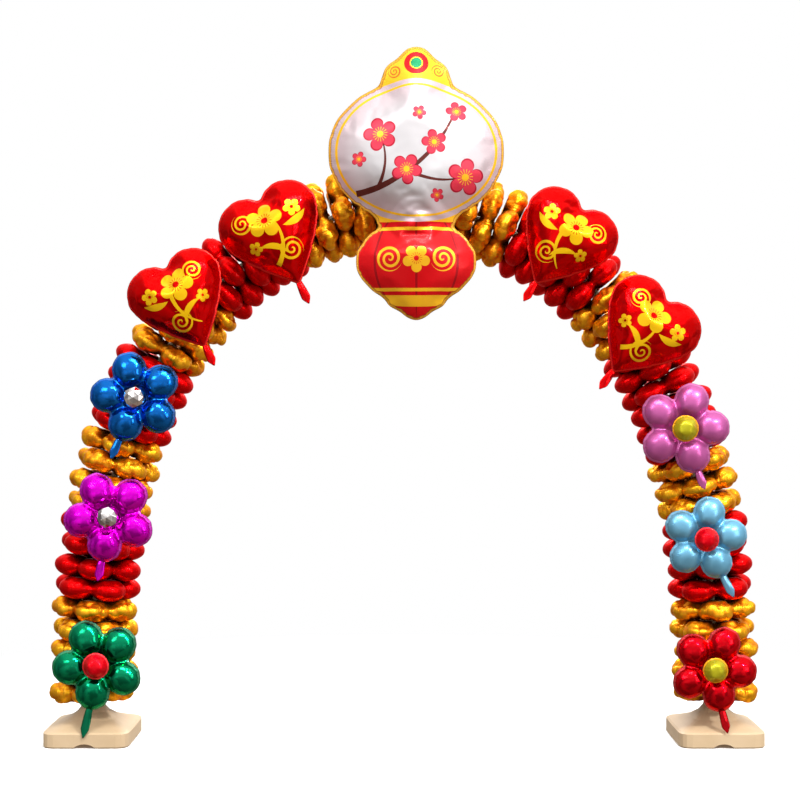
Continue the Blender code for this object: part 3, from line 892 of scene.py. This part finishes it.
def make_gem(flower):
    name = "middle_" + flower.foil
    bm = bmesh.new()
    bmesh.ops.create_icosphere(bm, subdivisions=2, radius=GEM_RADIUS * flower.size)
    bmesh.ops.scale(bm, vec=(1.0, 0.7, 1.0), verts=bm.verts)
    bmesh.ops.bevel(
        bm, geom=bm.edges[:], offset=0.0006, affect="EDGES", segments=1, profile=0.5, material=-1
    )
    bmesh.ops.rotate(bm, cent=(0, 0, 0), matrix=Matrix.Rotation(0.6, 3, "Y"), verts=bm.verts)
    bmesh.ops.translate(bm, vec=middle_of(name), verts=bm.verts)
    finish, tree, shader = new_material(flower.foil + " gem foil")
    place = position(tree)
    tone = one_tone(cells_at(place, 38.0, "Color"))
    tint = mix(tone, (0.30, 0.27, 0.27, 1), (0.92, 0.88, 0.86, 1))
    rough = grain_at(place, 60.0) * 0.12 + 0.02
    wire(shader, {"Base Color": tint, "Metallic": 1.0, "Roughness": rough})
    mesh = mesh_of("gem", bm)
    add_piece(name + "_gem", mesh, finish, name, shaded_smooth=False)


class TieFlowers(bpy.types.Operator):
    """Fills the six flower balloons and their middles"""

    bl_idname = "foil_arch.tie_flowers"
    bl_label = "Tie the flowers"

    def execute(self, context):
        settings = context.scene.foil_arch
        spread, radius = 0.128, 0.074
        mesh = petal_cut(spread, radius, hub=0.090, voxel=0.0078)
        collar = lambda p: 0.034 < hypot(p.x, p.y) < 0.043
        filled = fill(mesh, settings.pressure * 1.6, frames=22, pinned=collar)
        grow = fit(filled, None, FLOWER_REACH - FLOWER_WELD, FLOWER_DEPTH, inner=0.4)
        round_petals(filled, spread * grow, radius * grow, FLOWER_DEPTH, share=0.65)
        filled = subdivide(filled)
        draw_weld(filled, grow, FLOWER_WELD)
        ball = fill_ball(settings.pressure * 1.4)
        for flower in FLOWERS:
            make_flower(flower, filled, settings)
            if flower.middle == "gem":
                make_gem(flower)
            else:
                make_ball(flower, ball)
        return {"FINISHED"}


def heart_outline(count=40, side_count=24):
    """The heart's cut line from the notch round both lobes, its sides bowed out to the tip."""
    lobe = Vector((HEART_WIDTH / 2 - LOBE_RADIUS, LOBE_RISE - LOBE_RADIUS))
    start, end = atan2(-lobe.y, -lobe.x), radians(-20.0)
    turns = [start + (end - start) * i / count for i in range(count + 1)]
    right = [lobe + Vector((cos(turn), sin(turn))) * LOBE_RADIUS for turn in turns]
    tip = Vector((0.0, -HEART_DROP))
    flank = right[-1]
    leave = flank + Vector((sin(end), -cos(end))) * 0.075
    arrive = tip + Vector((0.055, 0.051))
    for i in range(1, side_count):
        t = i / side_count
        right.append(
            flank * (1 - t) ** 3 + leave * 3 * t * (1 - t) ** 2 + arrive * 3 * t * t * (1 - t) + tip * t**3
        )
    left = [Vector((-p.x, p.y)) for p in reversed(right[1:])]
    return [p[:] for p in (*right, tip, *left)]


def paint_sprig(tree, base, which):
    """A gold blossom with curls and leaves, laid out anew on each heart."""
    cut = reading(tree, "cut", "Vector")
    flip = -1.0 if which % 2 else 1.0
    shapes = []
    for across, up, size, turn in (
        (0.012, -0.075, 0.062, 0.3),
        (-0.088, -0.075, 0.030, 1.0),
        (0.078, -0.150, 0.024, 2.0),
    ):
        bloom = stamp(cut, "Blossom", across * flip, up, size=size, turn=turn + which)
        shapes.append(calc("SUBTRACT", bloom["Petals"], bloom["Eye"], clamp=True))
    for across, up, size, turn in ((0.085, -0.055, 0.036, 0.5), (-0.030, -0.200, 0.040, 4.2)):
        curl = stamp(cut, "Curl", across * flip, up, size=size, turn=turn + which, hand=flip)
        shapes.append(curl["Mask"])
    for across, up, radius, start, sweep, width, leaf in (
        (-0.060, -0.020, 0.100, 4.0, 0.95, 0.012, 1.0),
        (0.060, -0.235, 0.080, 1.5, 1.3, 0.010, 1.0),
        (0.110, -0.125, 0.130, 2.75, 1.35, 0.0085, 0.0),
    ):
        begin = start if flip > 0 else pi - start - sweep
        arc = {"radius": radius, "start": begin, "sweep": sweep, "width": width, "leaf": leaf}
        shapes.append(stamp(cut, "Brush", across * flip, up, **arc)["Mask"])
    mask = shapes[0]
    for shape in shapes[1:]:
        mask = calc("MAXIMUM", mask, shape)
    mask = mask * (split(cut)[2] > 0.0)  # printed on the front sheet only
    return mix(mask, base, (0.72, 0.42, 0.004, 1.0)), mask


class TieHearts(bpy.types.Operator):
    """Fills the four hearts, each with its printed gold sprig"""

    bl_idname = "foil_arch.tie_hearts"
    bl_label = "Tie the hearts"

    def execute(self, context):
        settings = context.scene.foil_arch
        half = HEART_WIDTH / 2
        filled = fill(cut_sheet([heart_outline()], voxel=0.0085), settings.pressure, frames=22)
        fit(filled, (-half, -HEART_DROP), (half, LOBE_RISE), HEART_DEPTH, inner=0.5)
        filled = subdivide(filled)
        draw_weld(filled, 1.0, settings.weld_width)
        add_tail(filled, -pi / 2, HEART_DROP, HEART_TAIL, width=0.026, spread=1.25, shade=0.35)
        centred = Matrix.Translation((0.0, 0.0, HEART_DROP * 0.45))
        for i, heart in enumerate(HEARTS):
            mesh = filled.copy()
            turned = Matrix.Rotation(-radians(heart.lean), 4, "Y")
            place = Matrix.Translation((heart.x, middle_of(heart.name).y, heart.z))
            mesh.transform(place @ turned @ centred @ Matrix.Scale(heart.size, 4) @ FACE_FRONT)
            finish = foil_material(
                f"heart foil {i + 1}",
                settings.heart,
                HEART_FOIL,
                (0.95, 0.03, 0.02),
                lambda tree, base, i=i: paint_sprig(tree, base, i),
                (1.0, 0.0, 0.03),
            )
            add_piece(heart.name + "_foil", mesh, finish, heart.name)
        return {"FINISHED"}


def paint_crest(cut, red, gold):
    """Gold side lobes and a red middle with a gold-rimmed green bead."""
    x, up, _ = split(cut)
    reach = distance(x, up - 0.430)
    crest = mix(reach < 0.044, gold, red)
    crest = mix(reach < 0.024, crest, gold)
    crest = mix(reach < 0.020, crest, (0.0, 0.20, 0.07, 1.0))
    for side in (-1.0, 1.0):
        curl = stamp(cut, "Curl", 0.080 * side, 0.402, size=0.025, turn=1.5, hand=side)
        crest = mix(curl["Mask"], crest, (0.55, 0.12, 0.01, 1.0))
    return crest


def paint_lantern(cut, red, gold):
    """Ribs that bow out from gold caps, with a gold blossom between two curls."""
    x, up, _ = split(cut)
    height = (up + 0.29) / 0.20
    bow = calc("SQRT", calc("MAXIMUM", 1.0 - height * height, 0.04))
    ribs = abs(calc("SINE", x * 21.0 / bow))
    lantern = mix(ribs < 0.09, red, (0.30, 0.0, 0.003, 1.0))
    for level, half in ((-0.125, 0.022), (-0.172, 0.006), (-0.395, 0.006), (-0.435, 0.020)):
        lantern = mix(abs(up - level) < half, lantern, gold)
    for side, turn in ((-1.0, 0.0), (1.0, pi)):
        curl = stamp(cut, "Curl", 0.095 * side, -0.285, size=0.046, turn=turn, hand=-side)
        lantern = mix(curl["Mask"], lantern, gold)
    bloom = stamp(cut, "Blossom", 0.0, -0.285, size=0.050, turn=0.3)
    lantern = mix(bloom["Petals"], lantern, gold)
    return mix(bloom["Eye"], lantern, red)


def paint_medallion(cut, base, reach, gold):
    """Plum blossom on a branch inside a gold ring, on a pearl with painted shade towards its edge."""
    # painted shade: the pearl turns darker and pinker towards the medallion's edge
    medallion = mix(step_up(reach, 0.45, 1.0) * 0.45, base, (0.55, 0.30, 0.34, 1.0))
    medallion = mix(abs(reach - 0.90) < 0.016, medallion, gold)
    for across, level, radius, start, sweep, width in (
        (-0.30, 0.42, 0.47, 280.0, 62.0, 0.012),
        (0.09, 0.25, 0.246, 240.8, 52.0, 0.007),
        (-0.30, 0.08, 0.19, 327.7, 56.0, 0.007),
    ):
        arc = {"radius": radius, "start": radians(start), "sweep": radians(sweep), "width": width}
        branch = stamp(cut, "Brush", across, level, **arc)
        medallion = mix(branch["Mask"], medallion, (0.09, 0.012, 0.008, 1.0))
    for across, level, size, turn in (
        (-0.035, 0.040, 0.056, 0.2),
        (0.175, 0.015, 0.068, 1.1),
        (0.145, 0.250, 0.040, 2.0),
        (0.062, 0.135, 0.046, 0.7),
        (-0.128, 0.165, 0.062, 1.9),
        (-0.205, 0.080, 0.028, 2.6),
        (0.075, -0.050, 0.026, 0.4),
        (0.010, 0.240, 0.026, 1.4),
    ):
        bloom = stamp(cut, "Blossom", across, level, size=size, turn=turn)
        medallion = mix(bloom["Petals"], medallion, (0.62, 0.03, 0.06, 1.0))
        medallion = mix(bloom["Edge"], medallion, (0.34, 0.0, 0.02, 1.0))
        medallion = mix(bloom["Eye"], medallion, gold)
    return medallion


def paint_centre(tree, base):
    """Plum blossom on the medallion, a ribbed lantern below it and a gold crest above."""
    cut = reading(tree, "cut", "Vector")
    x, up, _ = split(cut)
    red, gold = (0.58, 0.0, 0.003, 1.0), (0.82, 0.43, 0.012, 1.0)
    reach = distance(x / 0.322, (up - 0.11) / 0.262)
    printed = mix(up < 0.0, paint_crest(cut, red, gold), paint_lantern(cut, red, gold))
    return mix(reach < 0.985, printed, paint_medallion(cut, base, reach, gold)), None


class TieCentre(bpy.types.Operator):
    """Fills the tall balloon at the top: crest, pearl medallion and red lantern"""

    bl_idname = "foil_arch.tie_centre"
    bl_label = "Tie the medallion"

    def execute(self, context):
        settings = context.scene.foil_arch
        parts = [
            ellipse(lobe.across, lobe.height - CENTRE_Z, lobe.half_width, lobe.half_height, 96)
            for lobe in CENTRE_LOBES
        ]
        mesh = cut_sheet(parts, voxel=0.0125, thickness=0.024)
        filled = fill(mesh, settings.pressure * 0.7, frames=24)
        low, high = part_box("centre_medallion")
        bottom_left = (low.x - CENTRE_X, low.z - CENTRE_Z)
        top_right = (high.x - CENTRE_X, high.z - CENTRE_Z)
        fit(filled, bottom_left, top_right, (high.y - low.y) / 2, inner=0.85)
        filled = subdivide(filled)
        draw_weld(filled, 1.0, settings.weld_width, rounds=14)
        filled.transform(Matrix.Translation((CENTRE_X, (low.y + high.y) / 2, CENTRE_Z)) @ FACE_FRONT)
        rim, band = (0.62, 0.30, 0.02), (0.40, 0.12, 0.01)
        finish = foil_material("medallion foil", settings.pearl, MEDALLION_FOIL, rim, paint_centre, band)
        wire(finish.node_tree.nodes["Principled BSDF"], {"Specular IOR Level": 0.3})
        name = "centre_medallion"
        add_piece(name + "_foil", filled, finish, name)
        return {"FINISHED"}


class FinishStand(bpy.types.Operator):
    """Gives the feet and the pole their moulded plastic finish"""

    bl_idname = "foil_arch.finish_stand"
    bl_label = "Finish the stand"

    def execute(self, context):
        plastic, tree, shader = new_material("moulded plastic")
        place = position(tree)
        cloud = grain_at(place, 7.0, 4.0)
        pits = {"Height": grain_at(place, 700.0), "Strength": 0.25, "Distance": 0.0004}
        finish = {
            "Base Color": mix(cloud, (0.47, 0.33, 0.19, 1.0), (0.62, 0.47, 0.30, 1.0)),
            "Specular IOR Level": 0.35,
            "Roughness": cloud * 0.15 + 0.42,
            "Normal": source(tree, "Bump", pits, "Normal"),
        }
        wire(shader, finish)
        for name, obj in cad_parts.items():
            if name.startswith(("foot_", "pole")):
                for slot in obj.material_slots:
                    slot.material = plastic
        return {"FINISHED"}


def lay_floor(scene):
    """A pale round floor that fades to plain white away from the arch."""
    bm = bmesh.new()
    bmesh.ops.create_circle(bm, cap_ends=True, segments=96, radius=9.0)
    floor = bpy.data.objects.new("floor", mesh_of("floor", bm))
    scene.collection.objects.link(floor)
    made, tree, shader = new_material("studio floor")
    tree.nodes.remove(shader)
    reach = source(tree, "VectorMath", {0: position(tree)}, "Value", operation="LENGTH")
    pale = source(tree, "BsdfDiffuse", {"Color": (0.95, 0.95, 0.95, 1.0)})
    white = source(tree, "Emission", {"Color": (1, 1, 1, 1), "Strength": 1.0})
    shown = source(tree, "MixShader", {0: step_up(reach, 1.7, 3.0), 1: pale, 2: white})
    wire(tree.nodes["Material Output"], {"Surface": shown})
    floor.visible_glossy = False
    floor.visible_diffuse = False
    floor.data.materials.append(made)


def wrap_world(scene):
    """White to the camera; to the foil a bright room with a warm floor and a few dark patches."""
    world = bpy.data.worlds.new("studio")
    world.use_nodes = True
    scene.world = world
    tree = world.node_tree
    direction = source(tree, "TexCoord", output="Generated")
    across, _, up = split(direction)
    ramp = node(tree, "ValToRGB", {"Fac": up * 0.5 + 0.5})
    stops = ramp.color_ramp.elements
    stops[0].position, stops[0].color = 0.0, (0.34, 0.22, 0.16, 1)
    stops[1].position, stops[1].color = 1.0, (1.5, 1.5, 1.5, 1)
    for at, grey, warm in (
        (0.22, 0.48, 0.7),
        (0.38, 0.80, 0.85),
        (0.50, 1.25, 1.0),
        (0.60, 1.00, 1.0),
        (0.74, 1.40, 1.0),
    ):
        stops.new(at).color = (grey, grey * (0.5 + 0.5 * warm), grey * warm, 1)
    tone = one_tone(cells_at(direction, 2.6, "Color"))
    patches = step_up(up, 0.35, -0.1) * step_up(tone, 0.35, 0.75)
    walls = mix(patches * 0.62, Value(ramp.outputs["Color"]), (0.05, 0.045, 0.05, 1))
    sides = calc("MAXIMUM", step_up(across, -0.42, -0.85), step_up(across, 0.75, 0.95) * 0.7)
    dimmed = mix(sides * 0.6, walls, (0.08, 0.07, 0.07, 1))
    seen = source(tree, "LightPath", output="Is Camera Ray")
    wire(tree.nodes["Background"], {"Color": mix(seen, dimmed, (1, 1, 1, 1))})


def hang_lights(scene):
    for name, place, aim_height, size, power in (
        ("key", (7.2, -8.4, 8.6), 1.2, (0.9, 0.9), 1000.0),
        ("soft", (-4.6, -6.0, 5.4), 1.2, (2.6, 2.6), 150.0),
        ("side", (5.4, -4.6, 1.6), 1.2, (1.8, 2.4), 60.0),
        ("top", (0.4, -3.0, 5.4), 1.9, (2.6, 1.4), 170.0),
        ("back", (0.0, 4.0, 3.6), 1.2, (3.0, 1.5), 120.0),
    ):
        lamp = bpy.data.lights.new(name, "AREA")
        lamp.shape = "RECTANGLE"
        lamp.size, lamp.size_y = size
        lamp.energy = power
        obj = bpy.data.objects.new(name, lamp)
        obj.location = place
        aim = Vector((0.0, 0.0, aim_height)) - obj.location
        obj.rotation_euler = aim.to_track_quat("-Z", "Y").to_euler()
        scene.collection.objects.link(obj)


class SetStudio(bpy.types.Operator):
    """Sets the floor, the lights and the camera"""

    bl_idname = "foil_arch.set_studio"
    bl_label = "Set the studio"

    def execute(self, context):
        scene = context.scene
        scene.view_settings.view_transform = "Standard"
        lay_floor(scene)
        wrap_world(scene)
        hang_lights(scene)
        camera = bpy.data.cameras.new("camera")
        camera.lens = 77.0
        camera.sensor_width = 36.0
        eye = bpy.data.objects.new("camera", camera)
        eye.location = (-0.015, POLE_Y - 6.5, 1.285)
        eye.rotation_euler = (radians(90.0), 0.0, 0.0)
        scene.collection.objects.link(eye)
        scene.camera = eye
        return {"FINISHED"}


class ArchPanel(bpy.types.Panel):
    """Lists the arch's settings and makers"""

    bl_idname = "FOIL_ARCH_PT_panel"
    bl_label = "Foil balloon arch"
    bl_space_type = "VIEW_3D"
    bl_region_type = "UI"
    bl_category = "Arch"

    def draw(self, context):
        for name in FoilArchSettings.__annotations__:
            self.layout.prop(context.scene.foil_arch, name)
        for maker in MAKERS:
            self.layout.operator(maker.bl_idname)


MAKERS = (SetStudio, FinishStand, ThreadLayers, TieFlowers, TieHearts, TieCentre)
CLASSES = (FoilArchSettings, *MAKERS, ArchPanel)


def register():
    for each in CLASSES:
        bpy.utils.register_class(each)
    bpy.types.Scene.foil_arch = bpy.props.PointerProperty(type=FoilArchSettings)


def unregister():
    del bpy.types.Scene.foil_arch
    for each in reversed(CLASSES):
        bpy.utils.unregister_class(each)


def main():
    register()
    build_foil_group()
    build_blossom_group()
    build_curl_group()
    build_brush_group()
    bpy.ops.foil_arch.set_studio()
    bpy.ops.foil_arch.finish_stand()
    bpy.ops.foil_arch.thread_layers()
    bpy.ops.foil_arch.tie_flowers()
    bpy.ops.foil_arch.tie_hearts()
    bpy.ops.foil_arch.tie_centre()


if __name__ == "__main__":
    main()
